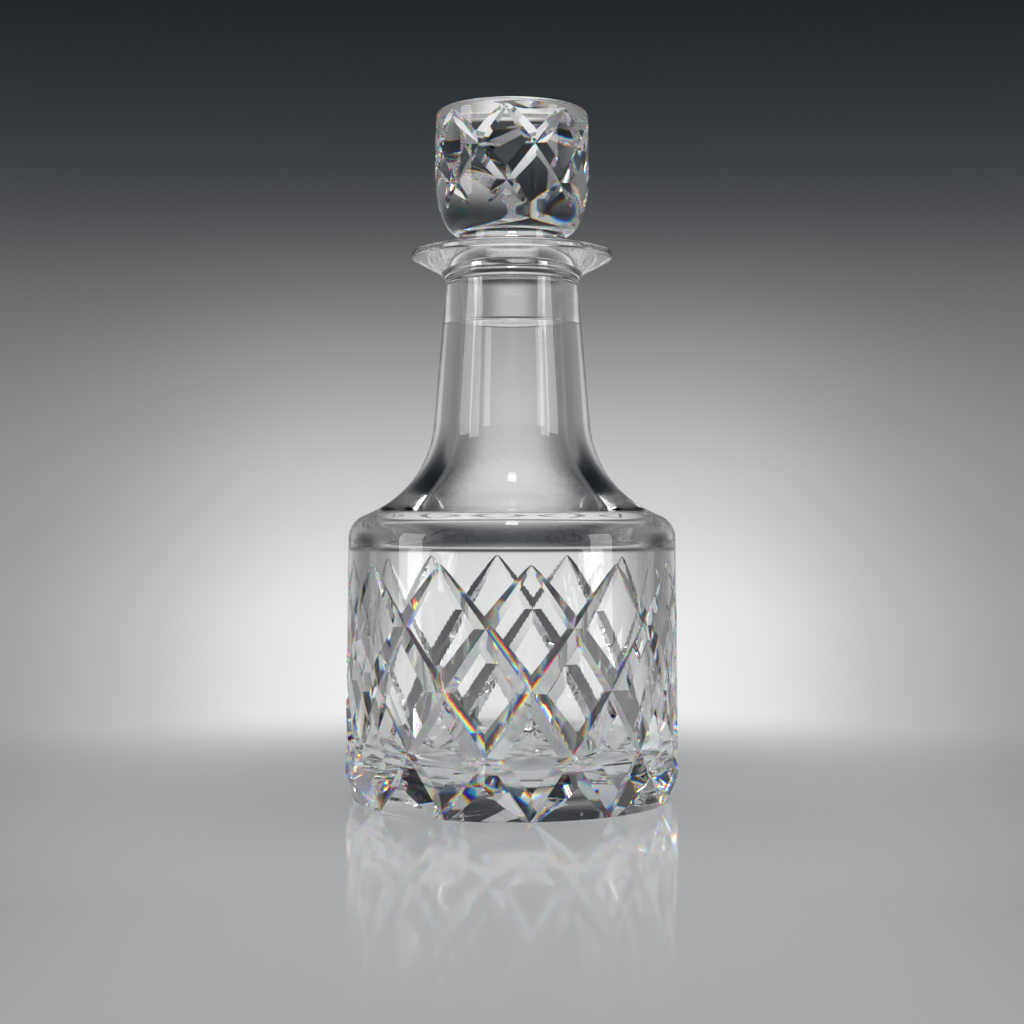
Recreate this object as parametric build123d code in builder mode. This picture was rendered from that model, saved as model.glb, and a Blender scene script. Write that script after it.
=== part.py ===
"""Cut crystal decanter: a thick-walled bottle and its solid stopper.

The decanter stands on the plane z = 0 with its axis on Z, and its front faces -Y. Both pieces
are turned shapes with a lattice of V-shaped mitre cuts: one set of grooves runs down to the
left, the other down to the right, and the glass between them is left as diamonds.

The lattice is the same in every sector, and the two grooves that meet at a tip mirror each
other. So each piece is made as half a sector with its cuts, mirrored, and repeated round Z.
"""

import os
from math import atan2, ceil, cos, degrees, radians, sin, sqrt, tan

from build123d import *

# Decanter, outside
body_height = 207.0
barrel_radius = 63.2  # just above the heel
barrel_lean = 1.3  # how much narrower the barrel is at its shoulder
barrel_height = 104.2
heel_height = 9.0
heel_inset = 3.2
shoulder_slope = 24.0
shoulder_radius = 9.5
throat_radius = 39.0
neck_spread = 7.2  # how much wider the neck is at its root than under the lip
neck_top_wall = 5.9
lip_flare_radius = 6.0
lip_height = 9.8
lip_overhang = 13.3
lip_edge_height = 2.9
lip_edge_radius = 1.3

# Decanter, inside
floor_thickness = 13.0
floor_radius = 10.0
barrel_wall = 9.0
shoulder_wall = 3.2  # the inner shoulder's corner lies this much lower than the outer one
inner_shoulder_slope = 24.0
inner_shoulder_radius = 12.0
inner_slope_straight = 1.2  # left between the roundings of the inner shoulder and throat
neck_root_wall = 9.3
seat_length = 28.0
seat_low_radius = 18.8
seat_taper = 0.05  # growth of the radius per millimetre: 1 in 10 on the diameter
seat_relief = 0.5  # step from the ground seat out to the wall of the neck
mouth_chamfer = 0.8

# Stopper
plug_clearance = 0.06  # radial gap between plug and seat
plug_chamfer = 0.8
collar_length = 6.0
knob_height = 47.0
knob_radius = 29.3
knob_widest = 23.0  # height of the widest place above the underside of the knob
knob_top_inset = 0.4
knob_edge_radius = 2.2

# Mitre cuts
half_v_angle = 57.0
wheel_reach = 3.0  # how far the cutting section stands out of the surface
run_over = 0.3  # how far a stretch of groove runs past its row at each end, in rows
stations = (0, 0.2, 0.55, 1)  # where along a stretch its section is set
tip_bluntness = 0.4  # power of the rise at a barrel tip: the lower, the steeper

barrel_cuts = 12
barrel_cut_front = 6.2  # degrees from the front to the nearest tip
barrel_cut_top = 89.6
barrel_cut_row = 22.4  # height of one row of diamonds
barrel_cut_depth = 4.3  # at the foot

knob_cuts = 8
knob_cut_front = -4.4
knob_cut_margin = 3.1  # from the top of the knob to the tips
knob_cut_row = 13.7
knob_cut_rows = 2.6  # from the upper tips to the lower ones
knob_cut_depth = 2.1  # half way along

# Derived sizes
barrel_top_radius = barrel_radius - barrel_lean
inner_radius = barrel_radius - barrel_wall
neck_top_radius = seat_low_radius + neck_top_wall
neck_root_radius = neck_top_radius + neck_spread
throat_height = barrel_height + (barrel_top_radius - neck_root_radius) * tan(radians(shoulder_slope))
lip_radius = neck_top_radius + lip_overhang
inner_neck_radius = neck_root_radius - neck_root_wall
inner_barrel_height = barrel_height - shoulder_wall
inner_throat_height = inner_barrel_height + (inner_radius - inner_neck_radius) * tan(
    radians(inner_shoulder_slope)
)
seat_low = body_height - seat_length
inner_slope_length = (inner_radius - inner_neck_radius) / cos(radians(inner_shoulder_slope))
inner_shoulder_tangent = inner_shoulder_radius * tan(radians(90 - inner_shoulder_slope) / 2)
inner_neck_lean = atan2(
    inner_neck_radius - seat_low_radius - seat_relief, seat_low - inner_throat_height
)
inner_throat_radius = (inner_slope_length - inner_shoulder_tangent - inner_slope_straight) / tan(
    (radians(90 - inner_shoulder_slope) - inner_neck_lean) / 2
)
seat_top_radius = seat_low_radius + seat_taper * (seat_length - mouth_chamfer)
plug_low_radius = seat_low_radius - plug_clearance
collar_radius = seat_low_radius + seat_taper * seat_length - plug_clearance
knob_low = body_height + collar_length
knob_top = knob_low + knob_height
knob_middle = knob_low + knob_widest
barrel_cut_rows = barrel_cut_top / barrel_cut_row


def barrel_radius_at(z):
    """Outer radius of the barrel, without the heel."""
    return barrel_radius - barrel_lean * (z - heel_height) / (barrel_height - heel_height)


def barrel_depth_at(row):
    """Depth of a barrel groove: it dips in quickly at the tip and deepens slowly to the foot."""
    return barrel_cut_depth * (row / barrel_cut_rows) ** tip_bluntness


def knob_radius_at(z):
    """Outer radius of the knob: a quarter ellipse below its widest place, a cone above it."""
    if z < knob_middle:
        drop = (knob_middle - z) / knob_widest
        return collar_radius + (knob_radius - collar_radius) * sqrt(1 - drop**2)
    return knob_radius - knob_top_inset * (z - knob_middle) / (knob_top - knob_middle)


def knob_depth_at(row):
    """Depth of a knob groove: none at either tip, deepest half way."""
    return knob_cut_depth * sqrt(max(0, 4 * row * (knob_cut_rows - row))) / knob_cut_rows


def groove(row, last_row, cuts, top, row_height, radius_at, depth_at):
    """One row's stretch of groove across the half sector from angle 0 to 180 / cuts.

    Even rows run from angle 0 to the far side, odd rows run back. The V is square to the way
    that the groove runs, and its depth is measured from the uncut surface.
    """
    step = 180 / cuts
    hand = 1 if row % 2 == 0 else -1
    first = max(0, row - run_over)
    last = min(last_row, row + 1 + run_over)
    lean = hand * degrees(atan2(radians(step) * radius_at(top - row_height), row_height))
    with BuildPart() as cut:
        for share in stations:
            here = first + (last - first) * share
            angle = step * (here - row) if hand > 0 else step * (1 - here + row)
            z = top - row_height * here
            depth = depth_at(here)
            half_width = (depth + wheel_reach) * tan(radians(half_v_angle))
            outward = Vector(cos(radians(angle)), sin(radians(angle)), 0)
            around = Vector(-outward.Y, outward.X, 0)
            along = around * sin(radians(lean)) - Vector(0, 0, 1) * cos(radians(lean))
            place = outward * radius_at(z) + Vector(0, 0, z)
            with BuildSketch(Plane(origin=place, x_dir=outward, z_dir=along)):
                with BuildLine():
                    Polyline(
                        (-depth, 0),
                        (wheel_reach, half_width),
                        (wheel_reach, -half_width),
                        close=True,
                    )
                make_face()
        loft()
    return cut.part


def tip_plane_normal(front):
    """Normal of the upright plane through the axis and the tip nearest the front."""
    return (-sin(radians(front - 90)), cos(radians(front - 90)), 0)


os.makedirs("parts", exist_ok=True)

# Decanter: half a sector of the turned bottle, less the grooves that cross it
with BuildPart() as half_sector:
    with BuildSketch(Plane.XZ):
        with BuildLine():
            outside = FilletPolyline(
                (barrel_radius, heel_height),
                (barrel_top_radius, barrel_height),
                (neck_root_radius, throat_height),
                (neck_top_radius, body_height - lip_height),
                (lip_radius, body_height - lip_edge_height),
                (lip_radius, body_height),
                (seat_top_radius + mouth_chamfer, body_height),
                radius=(
                    shoulder_radius,
                    throat_radius,
                    lip_flare_radius,
                    lip_edge_radius,
                    lip_edge_radius,
                ),
            )
            heel = TangentArc(
                (barrel_radius, heel_height),
                (barrel_radius - heel_inset, 0),
                tangent=-(outside % 0),
            )
            Polyline(heel @ 1, (0, 0), (0, floor_thickness))
            inside = FilletPolyline(
                (0, floor_thickness),
                (inner_radius, floor_thickness),
                (inner_radius, inner_barrel_height),
                (inner_neck_radius, inner_throat_height),
                (seat_low_radius + seat_relief, seat_low),
                radius=(floor_radius, inner_shoulder_radius, inner_throat_radius),
            )
            Polyline(
                inside @ 1,
                (seat_low_radius, seat_low),
                (seat_top_radius, body_height - mouth_chamfer),
                outside @ 1,
            )
        make_face()
    revolve(axis=Axis.Z, revolution_arc=180 / barrel_cuts)
    add(
        [
            groove(
                row,
                barrel_cut_rows + run_over,
                barrel_cuts,
                barrel_cut_top,
                barrel_cut_row,
                barrel_radius_at,
                barrel_depth_at,
            )
            for row in range(ceil(barrel_cut_rows))
        ],
        mode=Mode.SUBTRACT,
    )

with BuildPart() as decanter_body:
    with PolarLocations(0, barrel_cuts, start_angle=barrel_cut_front - 90):
        add(half_sector.part)
    mirror(about=Plane(origin=(0, 0, 0), z_dir=tip_plane_normal(barrel_cut_front)))
decanter_body.part.label = "decanter_body"
export_step(decanter_body.part, "parts/decanter_body.step")

# Stopper: ground taper plug, plain collar and cut knob, solid all through
with BuildPart() as knob_half_sector:
    with BuildSketch(Plane.XZ):
        with BuildLine():
            plug = Polyline(
                (0, knob_low),
                (0, seat_low),
                (plug_low_radius - plug_chamfer, seat_low),
                (plug_low_radius, seat_low + plug_chamfer),
                (collar_radius, body_height),
                (collar_radius, knob_low),
            )
            belly = EllipticalCenterArc(
                (collar_radius, knob_middle),
                knob_radius - collar_radius,
                knob_widest,
                start_angle=-90,
                arc_size=90,
            )
            crown = FilletPolyline(
                (knob_radius, knob_middle),
                (knob_radius - knob_top_inset, knob_top),
                (0, knob_top),
                radius=knob_edge_radius,
            )
            Line(crown @ 1, plug @ 0)
        make_face()
    revolve(axis=Axis.Z, revolution_arc=180 / knob_cuts)
    add(
        [
            groove(
                row,
                knob_cut_rows,
                knob_cuts,
                knob_top - knob_cut_margin,
                knob_cut_row,
                knob_radius_at,
                knob_depth_at,
            )
            for row in range(ceil(knob_cut_rows))
        ],
        mode=Mode.SUBTRACT,
    )

with BuildPart() as stopper:
    with PolarLocations(0, knob_cuts, start_angle=knob_cut_front - 90):
        add(knob_half_sector.part)
    mirror(about=Plane(origin=(0, 0, 0), z_dir=tip_plane_normal(knob_cut_front)))
stopper.part.label = "stopper"
export_step(stopper.part, "parts/stopper.step")
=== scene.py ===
import math

import bmesh
import bpy
from mathutils import Matrix, Vector


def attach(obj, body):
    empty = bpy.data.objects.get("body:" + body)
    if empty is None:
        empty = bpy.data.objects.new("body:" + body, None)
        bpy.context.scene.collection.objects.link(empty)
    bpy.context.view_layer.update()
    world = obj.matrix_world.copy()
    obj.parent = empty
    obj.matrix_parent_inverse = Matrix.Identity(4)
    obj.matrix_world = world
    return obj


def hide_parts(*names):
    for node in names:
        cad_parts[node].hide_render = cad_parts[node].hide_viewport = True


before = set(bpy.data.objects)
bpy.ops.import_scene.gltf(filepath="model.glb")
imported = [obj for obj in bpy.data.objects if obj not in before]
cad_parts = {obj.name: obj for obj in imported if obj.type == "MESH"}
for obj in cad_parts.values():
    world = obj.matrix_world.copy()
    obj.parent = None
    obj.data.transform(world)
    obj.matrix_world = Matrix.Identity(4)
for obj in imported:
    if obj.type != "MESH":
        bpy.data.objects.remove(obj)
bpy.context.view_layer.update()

scene = bpy.context.scene
MM = 0.001

# --- Decanter body, turned -------------------------------------------------------------------
# Lead crystal, blown thick in a mould and turned true: barrel, sloping shoulder, neck and an
# everted lip, and the hollow inside. Corners are (radius, height, rounding) in millimetres, up
# the outside from the foot, over the lip and down the inside to the floor.
BODY_CORNERS = [
    (60, 0, 0.3),
    (63.2, 9, 14),
    (61.9, 104.2, 9.5),
    (31.88, 117.57, 39),
    (24.7, 197.2, 6),
    (38, 204.1, 1.3),
    (38, 207, 1.3),
    (20.96, 207, 0.25),
    (20.16, 206.2, 0.25),
    (18.8, 179, 0.12),
    (19.3, 179, 0.12),
    (22.58, 115.08, 41.9),
    (54.2, 101, 12),
    (54.2, 13, 10),
]
FLOOR_THICKNESS = 13
TURNS = 360
BEND_STEP = math.radians(3.6)
SMALL_BEND_STEP = math.radians(12)
SMALL_ROUNDING = 0.5
LEAST_BEND_STEPS = 3
HOLD = 0.35  # a straight keeps its own slope up to this far from a bend
SHARP = math.radians(20)


def straight_to(bm, end, place):
    """Carries the outline on in a straight line, with a point held close to each end of it."""
    length = (place - end.co).length
    if length > 3 * HOLD * MM:
        start, way = end.co.copy(), (place - end.co) / length
        for reach in (HOLD * MM, length - HOLD * MM):
            end = bmesh.ops.extrude_vert_indiv(bm, verts=[end])["verts"][0]
            end.co = start + way * reach
    end = bmesh.ops.extrude_vert_indiv(bm, verts=[end])["verts"][0]
    end.co = place
    return end


def bend_round(bm, end, centre, axis, angle, step):
    """Carries the outline on round an arc."""
    steps = max(LEAST_BEND_STEPS, math.ceil(angle / step))
    made = bmesh.ops.spin(bm, geom=[end], cent=centre, axis=axis, angle=angle, steps=steps)
    return next(v for v in made["geom_last"] if isinstance(v, bmesh.types.BMVert))


def follow_corners(bm, end, corners, last):
    """Carries the outline on past rounded corners, towards a last point that it doesn't reach."""
    places = [Vector((radius, 0, height)) * MM for radius, height, _ in corners] + [last]
    for corner, after, (_, _, rounding) in zip(places, places[1:], corners):
        back, onward = (end.co - corner).normalized(), (after - corner).normalized()
        half = back.angle(onward) / 2
        start = corner + back * rounding * MM / math.tan(half)
        centre = corner + (back + onward).normalized() * rounding * MM / math.sin(half)
        end = straight_to(bm, end, start)
        axis = (start - centre).cross(corner - start)
        step = SMALL_BEND_STEP if rounding < SMALL_ROUNDING else BEND_STEP
        end = bend_round(bm, end, centre, axis, math.pi - 2 * half, step)
    return end


def turn_outline(bm):
    """Turns the finished outline round the axis into a closed shape."""
    bmesh.ops.spin(
        bm,
        geom=bm.verts[:] + bm.edges[:],
        cent=(0, 0, 0),
        axis=(0, 0, 1),
        angle=math.tau,
        steps=TURNS,
        use_merge=True,
    )
    bmesh.ops.remove_doubles(bm, verts=bm.verts, dist=1e-7)
    bmesh.ops.recalc_face_normals(bm, faces=bm.faces)


def new_piece(name, bm, *materials):
    """An object with this shape and these materials, standing at the origin."""
    mesh = bpy.data.meshes.new(name)
    bm.to_mesh(mesh)
    bm.free()
    for material in materials:
        mesh.materials.append(material)
    piece = bpy.data.objects.new(name, mesh)
    scene.collection.objects.link(piece)
    return piece


body_shape = bmesh.new()
inner_floor = Vector((0, 0, FLOOR_THICKNESS)) * MM
outline_end = body_shape.verts.new((0, 0, 0))
outline_end = follow_corners(body_shape, outline_end, BODY_CORNERS, inner_floor)
straight_to(body_shape, outline_end, inner_floor)
turn_outline(body_shape)

# --- Crystal ---------------------------------------------------------------------------------
# Clear lead crystal. It bends blue light more than red, so a facet throws coloured edges. The
# turned faces keep the faint swell of the mould and the grooves the streaks of the wheel. The
# ground taper is satin.


def new_group(name, inputs, outputs):
    """An empty node group with these sockets, each a name and a kind."""
    group = bpy.data.node_groups.new(name, "ShaderNodeTree")
    for way, sockets in (("INPUT", inputs), ("OUTPUT", outputs)):
        for socket, kind, *value in sockets:
            made = group.interface.new_socket(socket, in_out=way, socket_type="NodeSocket" + kind)
            if value:
                made.default_value = value[0]
    return group, group.nodes.new("NodeGroupInput"), group.nodes.new("NodeGroupOutput")


def new_node(tree, kind, settings=None, **values):
    """A node with these settings, and a plain value or a link in each named socket.

    A socket's spaces are written as underlines, and _2 means the node's socket number 2.
    """
    node = tree.nodes.new("ShaderNode" + kind)
    for setting, value in (settings or {}).items():
        setattr(node, setting, value)
    for socket, value in values.items():
        key = int(socket[1:]) if socket[0] == "_" else socket.replace("_", " ")
        if isinstance(value, bpy.types.NodeSocket):
            tree.links.new(value, node.inputs[key])
        else:
            node.inputs[key].default_value = value
    return node


def maths(tree, operation, *values, clamp=False):
    """The result of one sum, on plain values or links."""
    node = new_node(tree, "Math", {"operation": operation, "use_clamp": clamp})
    for socket, value in zip(node.inputs, values):
        if isinstance(value, bpy.types.NodeSocket):
            tree.links.new(value, socket)
        else:
            socket.default_value = value
    return node.outputs[0]


def mould_swell():
    """Faint waves that the mould and the fire leave on glass, tens of millimetres long."""
    group, start, end = new_group(
        "mould_swell",
        [("Length", "Float", 0.03), ("Place", "Vector")],
        [("Height", "Float")],
    )
    scale = maths(group, "DIVIDE", 1.0, start.outputs["Length"])
    waves = new_node(group, "TexNoise", Vector=start.outputs["Place"], Scale=scale, Detail=1.5)
    group.links.new(waves.outputs[0], end.inputs["Height"])
    return group


STREAKS_ROUND, STREAKS_UP = 60, 18  # fine across a groove, long along it


def wheel_streaks():
    """Streaks of the stone wheel along a groove that winds round the axis by Twist per metre."""
    group, start, end = new_group(
        "wheel_streaks",
        [("Twist", "Float", 0.0), ("Place", "Vector")],
        [("Height", "Float")],
    )
    place = new_node(group, "SeparateXYZ", Vector=start.outputs["Place"])
    angle = maths(group, "ARCTAN2", place.outputs["Y"], place.outputs["X"])
    wound = maths(group, "MULTIPLY", place.outputs["Z"], start.outputs["Twist"])
    across = maths(group, "ADD", angle, wound)
    line = new_node(
        group,
        "CombineXYZ",
        X=maths(group, "MULTIPLY", maths(group, "SINE", across), STREAKS_ROUND),
        Y=maths(group, "MULTIPLY", maths(group, "COSINE", across), STREAKS_ROUND),
        Z=maths(group, "MULTIPLY", place.outputs["Z"], STREAKS_UP),
    )
    streaks = new_node(group, "TexNoise", Vector=line.outputs[0], Scale=1.0, Detail=3.0)
    group.links.new(streaks.outputs[0], end.inputs["Height"])
    return group


GRIT_SCALE = 900.0


def ground_grain():
    """Where the taper is ground: 1 between two heights inside a radius, broken by the grit."""
    group, start, end = new_group(
        "ground_grain",
        [("Low", "Float"), ("High", "Float"), ("Radius", "Float"), ("Place", "Vector")],
        [("Amount", "Float")],
    )
    place = new_node(group, "SeparateXYZ", Vector=start.outputs["Place"])
    flat = new_node(
        group, "VectorMath", {"operation": "MULTIPLY"}, _0=start.outputs["Place"], _1=(1, 1, 0)
    )
    reach = new_node(group, "VectorMath", {"operation": "LENGTH"}, _0=flat.outputs[0])
    above = maths(group, "GREATER_THAN", place.outputs["Z"], start.outputs["Low"])
    below = maths(group, "LESS_THAN", place.outputs["Z"], start.outputs["High"])
    inside = maths(group, "LESS_THAN", reach.outputs["Value"], start.outputs["Radius"])
    where = maths(group, "MULTIPLY", maths(group, "MULTIPLY", above, below), inside)
    grit = new_node(group, "TexNoise", Vector=start.outputs["Place"], Scale=GRIT_SCALE, Detail=4.0)
    share = new_node(group, "MapRange", Value=grit.outputs[0], To_Min=0.6, To_Max=1.4)
    group.links.new(maths(group, "MULTIPLY", where, share.outputs[0]), end.inputs["Amount"])
    return group


SWELL, STREAKS, GRAIN = mould_swell(), wheel_streaks(), ground_grain()
CRYSTAL_IOR = 1.547
CRYSTAL_TINT = (0.985, 0.99, 0.99, 1)
SWELL_LENGTH = 0.028
RED_SHARE = 0.45  # of the spread, the part on the red side of green
LAMP_TINT = (0.93, 0.935, 0.94, 1)  # what a lamp's light keeps on its way through the piece


def crystal(name, spread=0.0, swell=0.0, streaks=0.0, twist=0.0, ground=None):
    """Crystal whose index differs by spread between blue and red where light first enters.

    Swell and streaks are heights in millimetres. Ground is the lowest and highest place of a
    taper, a radius round it, in metres, and its roughness.
    """
    material = bpy.data.materials.new(name)
    material.use_nodes = True
    tree = material.node_tree
    place = new_node(tree, "TexCoord").outputs["Object"]
    waves = new_node(tree, "Group", {"node_tree": SWELL}, Length=SWELL_LENGTH, Place=place)
    bump = new_node(tree, "Bump", Strength=1.0, Distance=swell * MM, Height=waves.outputs[0])
    normal = bump.outputs[0]
    if streaks:
        lines = new_node(tree, "Group", {"node_tree": STREAKS}, Twist=twist, Place=place)
        bump = new_node(
            tree, "Bump", Strength=1.0, Distance=streaks * MM, Height=lines.outputs[0], Normal=normal
        )
        normal = bump.outputs[0]
    roughness = 0.0
    if ground:
        low, high, radius, satin = ground
        grain = new_node(
            tree, "Group", {"node_tree": GRAIN}, Low=low, High=high, Radius=radius, Place=place
        )
        roughness = maths(tree, "MULTIPLY", grain.outputs[0], satin)
    whole = tree.nodes["Principled BSDF"]
    whole.inputs["Base Color"].default_value = CRYSTAL_TINT
    whole.inputs["IOR"].default_value = CRYSTAL_IOR
    whole.inputs["Transmission Weight"].default_value = 1.0
    whole.inputs["Roughness"].default_value = 0.0
    if ground:
        tree.links.new(roughness, whole.inputs["Roughness"])
    tree.links.new(normal, whole.inputs["Normal"])
    path = new_node(tree, "LightPath")
    clear = whole
    if spread:
        rays = [
            new_node(tree, "BsdfGlass", Color=colour, IOR=ior, Roughness=roughness, Normal=normal)
            for colour, ior in (
                ((3, 0, 0, 1), CRYSTAL_IOR - spread * RED_SHARE),
                ((0, 3, 0, 1), CRYSTAL_IOR),
                ((0, 0, 3, 1), CRYSTAL_IOR + spread * (1 - RED_SHARE)),
            )
        ]
        warm = new_node(tree, "MixShader", _0=0.5, _1=rays[0].outputs[0], _2=rays[1].outputs[0])
        split = new_node(tree, "MixShader", _0=1 / 3, _1=warm.outputs[0], _2=rays[2].outputs[0])
        inside = maths(tree, "GREATER_THAN", path.outputs["Transmission Depth"], 0.5)
        clear = new_node(tree, "MixShader", _0=inside, _1=split.outputs[0], _2=whole.outputs[0])
    lamp = new_node(tree, "BsdfTransparent", Color=LAMP_TINT)
    lit = new_node(
        tree, "MixShader", _0=path.outputs["Is Shadow Ray"], _1=clear.outputs[0], _2=lamp.outputs[0]
    )
    tree.links.new(lit.outputs[0], tree.nodes["Material Output"].inputs["Surface"])
    return material


# --- Decanter body, cut ----------------------------------------------------------------------
# Twelve grooves of each hand, ground into the barrel on a V-edged stone wheel and polished.
# They start in pairs at the tips under the shoulder, cross four times and run out at the foot.
BARREL_CUTS = 12
BARREL_CUT_FRONT = 6.2  # degrees from the front to the nearest tip
BARREL_CUT_TOP = 89.6
BARREL_CUT_ROW = 22.4  # height of one row of diamonds
BARREL_CUT_ROWS = 4.45  # down to below the foot
BARREL_CUT_DEPTH = 4.3  # four rows down, at the foot
TIP_BLUNTNESS = 0.55
BARREL_RADIUS, BARREL_LEAN = 63.2, 1.3
HEEL_HEIGHT, BARREL_HEIGHT = 9, 104.2
HALF_V = math.radians(57)
WHEEL_REACH = 3.0  # how far the wheel's section stands out of the surface
WHEEL_STATIONS = 72
TIP_CROWDING = 1.5  # stations stand closer together near the tips
THIRD = math.radians(60)


def wheel_passes(cuts, hand, front, top, row, rows, radius_at, depth_at):
    """What the wheel's edge sweeps in all the grooves of one hand, as closed shapes.

    A groove runs down from its tip by rows, and round by half a cut's share of a turn in each.
    """
    step = math.radians(180 / cuts)
    lean = hand * math.atan2(step * radius_at(top - row), row)
    bm = bmesh.new()
    sections = []
    for station in range(WHEEL_STATIONS + 1):
        here = rows * (station / WHEEL_STATIONS) ** TIP_CROWDING
        turn = math.radians(front - 90) + hand * step * here
        height = depth_at(here) + WHEEL_REACH
        outward = Vector((math.cos(turn), math.sin(turn), 0))
        around = Vector((-outward.y, outward.x, 0))
        along = around * math.sin(lean) - Vector((0, 0, 1)) * math.cos(lean)
        surface = outward * radius_at(top - row * here) + Vector((0, 0, top - row * here))
        middle = surface + outward * (WHEEL_REACH - height / 3)
        side = along.cross(outward) * height * math.tan(HALF_V) / math.sin(THIRD)
        inward = -outward * height / 1.5
        placed = Matrix((side * MM, inward * MM, along * MM)).transposed().to_4x4()
        placed.translation = middle * MM
        made = bmesh.ops.create_circle(
            bm,
            cap_ends=station in (0, WHEEL_STATIONS),
            segments=3,
            radius=1,
            matrix=placed,
        )
        sections.append(list({edge for vert in made["verts"] for edge in vert.link_edges}))
        if station:
            bmesh.ops.bridge_loops(bm, edges=sections[-2] + sections[-1])
    bmesh.ops.spin(
        bm,
        geom=bm.verts[:] + bm.edges[:] + bm.faces[:],
        cent=(0, 0, 0),
        axis=(0, 0, 1),
        angle=math.tau * (1 - 1 / cuts),
        steps=cuts - 1,
        use_duplicate=True,
    )
    bmesh.ops.recalc_face_normals(bm, faces=bm.faces)
    for face in bm.faces:
        face.material_index = 1 if hand > 0 else 2
    return bm


def cut_lattice(piece, **lattice):
    """Grinds the grooves of both hands into a turned piece, and keeps its true edges sharp."""
    wheels = []
    for hand in (1, -1):
        wheel = new_piece("wheel", wheel_passes(hand=hand, **lattice), *piece.data.materials)
        cut = piece.modifiers.new("mitre_cut", "BOOLEAN")
        cut.operation, cut.solver, cut.object = "DIFFERENCE", "MANIFOLD", wheel
        wheels.append(wheel)
    now = bpy.context.evaluated_depsgraph_get()
    cut_mesh = bpy.data.meshes.new_from_object(piece.evaluated_get(now), depsgraph=now)
    piece.modifiers.clear()
    piece.data = cut_mesh
    cut_mesh.name = piece.name
    for wheel in wheels:
        bpy.data.meshes.remove(wheel.data)
    bm = bmesh.new()
    bm.from_mesh(cut_mesh)
    bmesh.ops.remove_doubles(bm, verts=bm.verts, dist=1e-6)
    bmesh.ops.holes_fill(bm, edges=bm.edges, sides=0)
    bmesh.ops.recalc_face_normals(bm, faces=bm.faces)
    for face in bm.faces:
        face.smooth = True
    for edge in bm.edges:
        edge.smooth = edge.calc_face_angle(0) < SHARP
    bm.to_mesh(cut_mesh)
    bm.free()


def twist(cuts, row):
    """Radians that a groove turns in each metre of height."""
    return math.radians(180 / cuts) / (row * MM)


def barrel_radius_at(height):
    """The uncut barrel leans in a little from its heel to its shoulder."""
    return BARREL_RADIUS - BARREL_LEAN * (height - HEEL_HEIGHT) / (BARREL_HEIGHT - HEEL_HEIGHT)


def barrel_depth_at(here):
    """A groove dips in quickly at its tip and deepens slowly to the foot."""
    return BARREL_CUT_DEPTH * (here / 4) ** TIP_BLUNTNESS


barrel_twist = twist(BARREL_CUTS, BARREL_CUT_ROW)
seat = (0.179, 0.2062, 0.0204, 0.09)
body = new_piece(
    "decanter",
    body_shape,
    crystal("turned_crystal", swell=0.03, ground=seat),
    crystal("cut_crystal_right", spread=0.05, streaks=0.004, twist=barrel_twist),
    crystal("cut_crystal_left", spread=0.05, streaks=0.004, twist=-barrel_twist),
)
cut_lattice(
    body,
    cuts=BARREL_CUTS,
    front=BARREL_CUT_FRONT,
    top=BARREL_CUT_TOP,
    row=BARREL_CUT_ROW,
    rows=BARREL_CUT_ROWS,
    radius_at=barrel_radius_at,
    depth_at=barrel_depth_at,
)
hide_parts("decanter_body")
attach(body, "decanter")

# --- Stopper ---------------------------------------------------------------------------------
# Solid lead crystal, turned to a ground taper plug, a plain collar and a knob with a rounded
# belly. Eight grooves of each hand are ground round the knob between two rows of tips.
PLUG_LOW = 179
KNOB_LOW = 213
PLUG_CORNERS = [
    (17.94, PLUG_LOW, 0.15),
    (18.74, 179.8, 0.3),
    (20.14, 207, 1),
    (20.14, KNOB_LOW, 0.15),
]
COLLAR = 20.14
BELLY_WIDTH, BELLY_HEIGHT = 9.16, 23
BELLY_TOP = KNOB_LOW + BELLY_HEIGHT
KNOB_TOP, KNOB_TOP_INSET = 260, 0.4
KNOB_ROUNDING = 2.2
KNOB_CUTS = 8
KNOB_CUT_FRONT = -4.4
KNOB_CUT_MARGIN = 3.1  # from the top of the knob to the tips
KNOB_CUT_ROW = 13.7
KNOB_CUT_ROWS = 2.6
KNOB_CUT_DEPTH = 2.1  # half way along

stopper_shape = bmesh.new()
outline_end = stopper_shape.verts.new((0, 0, PLUG_LOW * MM))
belly_low = Vector((COLLAR + BELLY_WIDTH, 0, KNOB_LOW)) * MM
outline_end = follow_corners(stopper_shape, outline_end, PLUG_CORNERS, belly_low)
belly_centre = Vector((COLLAR, 0, BELLY_TOP)) * MM
plug_points = set(stopper_shape.verts)
outline_end = bmesh.ops.extrude_vert_indiv(stopper_shape, verts=[outline_end])["verts"][0]
outward_and_down = Vector((math.sin(BEND_STEP), 0, -math.cos(BEND_STEP)))
outline_end.co = belly_centre + outward_and_down * BELLY_WIDTH * MM
outline_end = bend_round(
    stopper_shape, outline_end, belly_centre, (0, -1, 0), math.pi / 2 - BEND_STEP, BEND_STEP
)
bmesh.ops.scale(
    stopper_shape,
    vec=(1, 1, BELLY_HEIGHT / BELLY_WIDTH),
    space=Matrix.Translation(-belly_centre),
    verts=[vert for vert in stopper_shape.verts if vert not in plug_points],
)
knob_crown = Vector((0, 0, KNOB_TOP)) * MM
crown_corner = (COLLAR + BELLY_WIDTH - KNOB_TOP_INSET, KNOB_TOP, KNOB_ROUNDING)
outline_end = follow_corners(stopper_shape, outline_end, [crown_corner], knob_crown)
straight_to(stopper_shape, outline_end, knob_crown)
turn_outline(stopper_shape)


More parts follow.
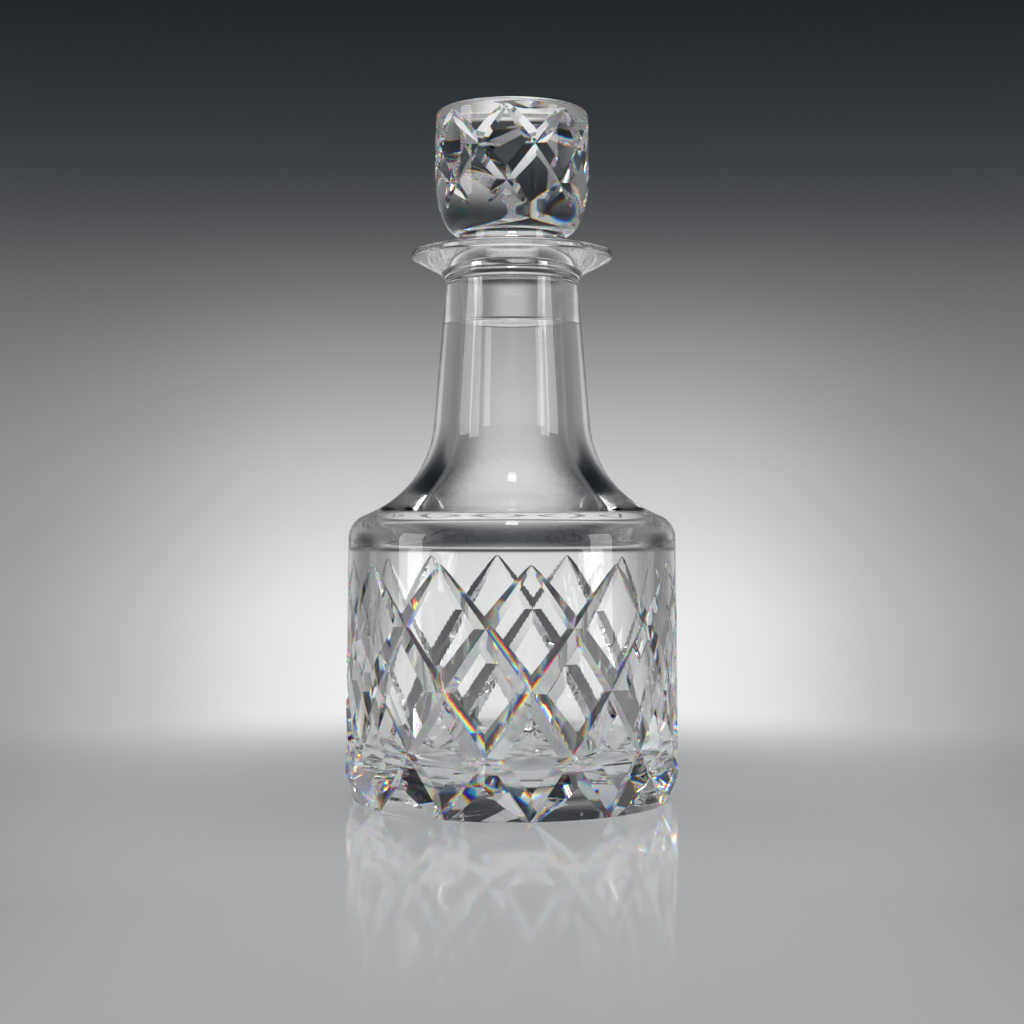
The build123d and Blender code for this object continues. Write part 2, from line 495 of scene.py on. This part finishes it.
def knob_radius_at(height):
    """The uncut knob: a quarter ellipse below its widest place and a slight cone above it."""
    if height > BELLY_TOP:
        rise = (height - BELLY_TOP) / (KNOB_TOP - BELLY_TOP)
        return COLLAR + BELLY_WIDTH - KNOB_TOP_INSET * rise
    drop = (BELLY_TOP - height) / BELLY_HEIGHT
    return COLLAR + BELLY_WIDTH * math.sqrt(1 - drop * drop)


def knob_depth_at(here):
    """No depth at either tip, and the most half way."""
    return KNOB_CUT_DEPTH * math.sqrt(max(0, 4 * here * (KNOB_CUT_ROWS - here))) / KNOB_CUT_ROWS


knob_twist = twist(KNOB_CUTS, KNOB_CUT_ROW)
plug = (0.1798, 0.207, 0.0204, 0.09)
stopper = new_piece(
    "cut_stopper",
    stopper_shape,
    crystal("turned_stopper_crystal", spread=0.02, swell=0.02, ground=plug),
    crystal("cut_knob_right", spread=0.035, streaks=0.004, twist=knob_twist),
    crystal("cut_knob_left", spread=0.035, streaks=0.004, twist=-knob_twist),
)
cut_lattice(
    stopper,
    cuts=KNOB_CUTS,
    front=KNOB_CUT_FRONT,
    top=KNOB_TOP - KNOB_CUT_MARGIN,
    row=KNOB_CUT_ROW,
    rows=KNOB_CUT_ROWS,
    radius_at=knob_radius_at,
    depth_at=knob_depth_at,
)
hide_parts("stopper")
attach(stopper, "stopper")

# --- Room ------------------------------------------------------------------------------------
# A pale glossy floor runs out into a backdrop with a soft glow in its middle, dark above. A soft
# box stands at each side, a small one hangs over the front and a wide one lights the floor. The
# camera stands level with the shoulder.
scene.view_settings.view_transform = "Standard"


def colour_steps(ramp, steps):
    """Fills a colour ramp with (position, colour) steps."""
    ramp.color_ramp.interpolation = "B_SPLINE"
    elements = ramp.color_ramp.elements
    elements[0].position, elements[0].color = steps[0]
    elements[1].position, elements[1].color = steps[-1]
    for position, colour in steps[1:-1]:
        elements.new(position).color = colour


def grey(level, blue=1.0):
    """A grey, or with blue over 1 a slightly cold one."""
    return (level * (2 - blue), level, level * blue, 1)


# Tangent of the angle aside, and how bright the glow's middle is there.
GLOW_WIDTH = [
    (0, 1),
    (0.09, 1),
    (0.14, 0.86),
    (0.2, 0.46),
    (0.27, 0.24),
    (0.4, 0.08),
    (0.7, 0),
]
# Sine of the angle up, and how much the glow's middle adds there.
GLOW_LOW, GLOW_HIGH = -0.2, 0.6
GLOW_MIDDLE = [
    (GLOW_LOW, 0.66),
    (-0.06, 0.68),
    (-0.016, 0.49),
    (0.02, 0.37),
    (0.05, 0.26),
    (0.085, 0.14),
    (0.118, 0.06),
    (0.15, 0.015),
    (0.2, 0),
    (GLOW_HIGH, 0),
]
# Sine of the angle up, the backdrop's own grey there, and its blue.
GLOW_HAZE = [
    (GLOW_LOW, 0.22, 1.0),
    (0.02, 0.21, 1.01),
    (0.051, 0.19, 1.02),
    (0.084, 0.17, 1.02),
    (0.118, 0.13, 1.03),
    (0.151, 0.083, 1.06),
    (0.184, 0.05, 1.1),
    (0.218, 0.034, 1.16),
    (0.251, 0.024, 1.2),
    (0.28, 0.017, 1.22),
    (GLOW_HIGH, 0.014, 1.25),
]
FRONT_SHARE = 0.45  # of the glow behind, what the room in front has


def backdrop_glow():
    """The backdrop's glow, by how far aside and how high it is, and by whether it is behind."""
    group, start, end = new_group(
        "backdrop_glow",
        [("Aside", "Float"), ("Height", "Float"), ("Behind", "Float")],
        [("Colour", "Color")],
    )
    width = new_node(group, "ValToRGB", Fac=start.outputs["Aside"])
    colour_steps(width, [(at, grey(level)) for at, level in GLOW_WIDTH])
    lift = new_node(
        group, "MapRange", Value=start.outputs["Height"], From_Min=GLOW_LOW, From_Max=GLOW_HIGH
    )
    span = GLOW_HIGH - GLOW_LOW
    middle = new_node(group, "ValToRGB", Fac=lift.outputs[0])
    colour_steps(middle, [((at - GLOW_LOW) / span, grey(level)) for at, level in GLOW_MIDDLE])
    haze = new_node(group, "ValToRGB", Fac=lift.outputs[0])
    colour_steps(
        haze, [((at - GLOW_LOW) / span, grey(level, blue)) for at, level, blue in GLOW_HAZE]
    )
    bright = new_node(
        group,
        "Mix",
        {"data_type": "RGBA", "blend_type": "MULTIPLY"},
        _0=1.0,
        _6=width.outputs[0],
        _7=middle.outputs[0],
    )
    glow = new_node(
        group,
        "Mix",
        {"data_type": "RGBA", "blend_type": "ADD"},
        _0=1.0,
        _6=haze.outputs[0],
        _7=bright.outputs[2],
    )
    shade = new_node(group, "MapRange", Value=start.outputs["Behind"], To_Min=FRONT_SHARE)
    final = new_node(
        group, "VectorMath", {"operation": "SCALE"}, _0=glow.outputs[2], Scale=shade.outputs[0]
    )
    group.links.new(final.outputs[0], end.inputs["Colour"])
    return group


GLOW = backdrop_glow()
CEILING_GLOW = 0.6
CEILING_STARTS, CEILING_FULL = 0.7, 0.9  # sines of the angles up
SIDES_START, SIDES_FULL = 0.35, 1.2  # tangents of the angles aside
SIDES_FALL = 0.12  # at the sides the glow counts only this share of the height
FRONT_TO_BACK = (-0.3, 0.3)  # where the turn from the front's share to the back's lies
room = bpy.data.worlds.new("room")
room.use_nodes = True
scene.world = room
tree = room.node_tree
sight = new_node(tree, "TexCoord").outputs["Generated"]
way = new_node(tree, "SeparateXYZ", Vector=sight)
onward = new_node(tree, "VectorMath", {"operation": "MULTIPLY"}, _0=sight, _1=(0, 1, 1))
away = new_node(tree, "VectorMath", {"operation": "LENGTH"}, _0=onward.outputs[0])
aside = maths(
    tree,
    "DIVIDE",
    maths(tree, "ABSOLUTE", way.outputs["X"]),
    maths(tree, "MAXIMUM", away.outputs["Value"], 1e-4),
)
behind = new_node(
    tree,
    "MapRange",
    Value=way.outputs["Y"],
    From_Min=FRONT_TO_BACK[0],
    From_Max=FRONT_TO_BACK[1],
)
fall = new_node(
    tree,
    "MapRange",
    {"interpolation_type": "SMOOTHSTEP"},
    Value=aside,
    From_Min=SIDES_START,
    From_Max=SIDES_FULL,
    To_Min=1.0,
    To_Max=SIDES_FALL,
)
glow = new_node(
    tree,
    "Group",
    {"node_tree": GLOW},
    Aside=aside,
    Height=maths(tree, "MULTIPLY", way.outputs["Z"], fall.outputs[0]),
    Behind=behind.outputs[0],
)
ceiling = new_node(
    tree,
    "MapRange",
    {"interpolation_type": "SMOOTHSTEP"},
    Value=way.outputs["Z"],
    From_Min=CEILING_STARTS,
    From_Max=CEILING_FULL,
    To_Max=CEILING_GLOW,
)
lit_room = new_node(
    tree,
    "Mix",
    {"data_type": "RGBA", "blend_type": "ADD"},
    _0=1.0,
    _6=glow.outputs[0],
    _7=ceiling.outputs[0],
)
tree.links.new(lit_room.outputs[2], tree.nodes["Background"].inputs["Color"])

FLOOR_GAP = 0.2  # millimetres below the foot, so that the foot mirrors the glass above it
FLOOR_RADIUS = 60
FLOOR_SIDES = 128
FLOOR_COLOUR = (0.8, 0.81, 0.82, 1)
FLOOR_ROUGHNESS = 0.06
ROOM_DEPTH = 0.7  # from the camera to the decanter, about
GLOW_DROP = -0.108  # from the camera's level down to the floor
TURN_REACH = 0.4  # softens the turn from front to back close to the decanter
PAINT_REACH, GLOW_REACH = 0.1, 0.32  # lamp-lit paint near the decanter, further out all painted glow: there the floor emits the backdrop's light
# Painted light: further out the floor is an emission of the backdrop's glow, brighter behind the
# decanter and darker in front and to the sides.
floor_finish = bpy.data.materials.new("pale_floor")
floor_finish.use_nodes = True
tree = floor_finish.node_tree
paint = tree.nodes["Principled BSDF"]
paint.inputs["Base Color"].default_value = FLOOR_COLOUR
paint.inputs["Roughness"].default_value = FLOOR_ROUGHNESS
spot = new_node(tree, "SeparateXYZ", Vector=new_node(tree, "TexCoord").outputs["Object"])
sideways = maths(tree, "ABSOLUTE", spot.outputs["X"])
away = maths(tree, "ADD", maths(tree, "ABSOLUTE", spot.outputs["Y"]), ROOM_DEPTH)
flat = new_node(tree, "CombineXYZ", X=spot.outputs["X"], Y=spot.outputs["Y"])
reach = new_node(tree, "VectorMath", {"operation": "LENGTH"}, _0=flat.outputs[0])
heading = maths(
    tree, "DIVIDE", spot.outputs["Y"], maths(tree, "ADD", reach.outputs["Value"], TURN_REACH)
)
behind = new_node(
    tree, "MapRange", Value=heading, From_Min=FRONT_TO_BACK[0], From_Max=FRONT_TO_BACK[1]
)
glow = new_node(
    tree,
    "Group",
    {"node_tree": GLOW},
    Aside=maths(tree, "DIVIDE", sideways, away),
    Height=maths(tree, "DIVIDE", GLOW_DROP, away),
    Behind=behind.outputs[0],
)
far = new_node(
    tree,
    "MapRange",
    {"interpolation_type": "SMOOTHSTEP"},
    Value=reach.outputs["Value"],
    From_Min=PAINT_REACH,
    From_Max=GLOW_REACH,
)
path = new_node(tree, "LightPath")
seen = maths(tree, "ADD", path.outputs["Is Camera Ray"], path.outputs["Is Glossy Ray"], clamp=True)
seen = maths(tree, "ADD", seen, path.outputs["Is Transmission Ray"], clamp=True)
painted_floor_glow = new_node(tree, "Emission", Color=glow.outputs[0])
floor_mix = new_node(
    tree,
    "MixShader",
    _0=maths(tree, "MULTIPLY", seen, far.outputs[0]),
    _1=paint.outputs[0],
    _2=painted_floor_glow.outputs[0],
)
tree.links.new(floor_mix.outputs[0], tree.nodes["Material Output"].inputs["Surface"])
ground_shape = bmesh.new()
bmesh.ops.create_circle(
    ground_shape,
    cap_ends=True,
    segments=FLOOR_SIDES,
    radius=FLOOR_RADIUS,
    matrix=Matrix.Translation((0, 0, -FLOOR_GAP * MM)),
)
bmesh.ops.recalc_face_normals(ground_shape, faces=ground_shape.faces)
floor = new_piece("floor", ground_shape, floor_finish)

LAMP_AIM = Vector((0, 0, 0.13))


def soft_box(name, azimuth, elevation, distance, width, height, radiance):
    """A soft box facing the decanter. Azimuth 0 is in front of it and 90 to its right."""
    round_by, up_by = math.radians(azimuth), math.radians(elevation)
    level = Vector((math.sin(round_by), -math.cos(round_by), 0))
    out = level * math.cos(up_by) + Vector((0, 0, math.sin(up_by)))
    lamp = bpy.data.lights.new(name, "AREA")
    lamp.shape, lamp.size, lamp.size_y = "RECTANGLE", width, height
    lamp.energy = radiance * math.pi * width * height
    box = bpy.data.objects.new(name, lamp)
    box.location = LAMP_AIM + out * distance
    box.rotation_euler = (-out).to_track_quat("-Z", "Y").to_euler()
    scene.collection.objects.link(box)
    return box


soft_box("left_box", -72, 6.5, distance=1.2, width=0.42, height=0.57, radiance=3.6)
soft_box("right_box", 62, 6.5, distance=1.2, width=0.36, height=0.57, radiance=3.6)
soft_box("top_box", 0, 74, distance=1.1, width=0.12, height=0.16, radiance=5)
floor_box = soft_box("floor_box", 0, 90, distance=1.1, width=0.9, height=0.9, radiance=2.6)
floor_box.visible_glossy = floor_box.visible_transmission = False

CAMERA_PLACE = (0, -0.685, 0.108)
FOCAL_LENGTH, SENSOR_WIDTH = 63.3, 36
lens = bpy.data.cameras.new("camera")
lens.lens, lens.sensor_width = FOCAL_LENGTH, SENSOR_WIDTH
camera = bpy.data.objects.new("camera", lens)
camera.location = CAMERA_PLACE
camera.rotation_euler = (math.pi / 2, 0, 0)
scene.collection.objects.link(camera)
scene.camera = camera
scene.cycles.max_bounces = 32
scene.cycles.transmission_bounces = 32
scene.cycles.glossy_bounces = 16
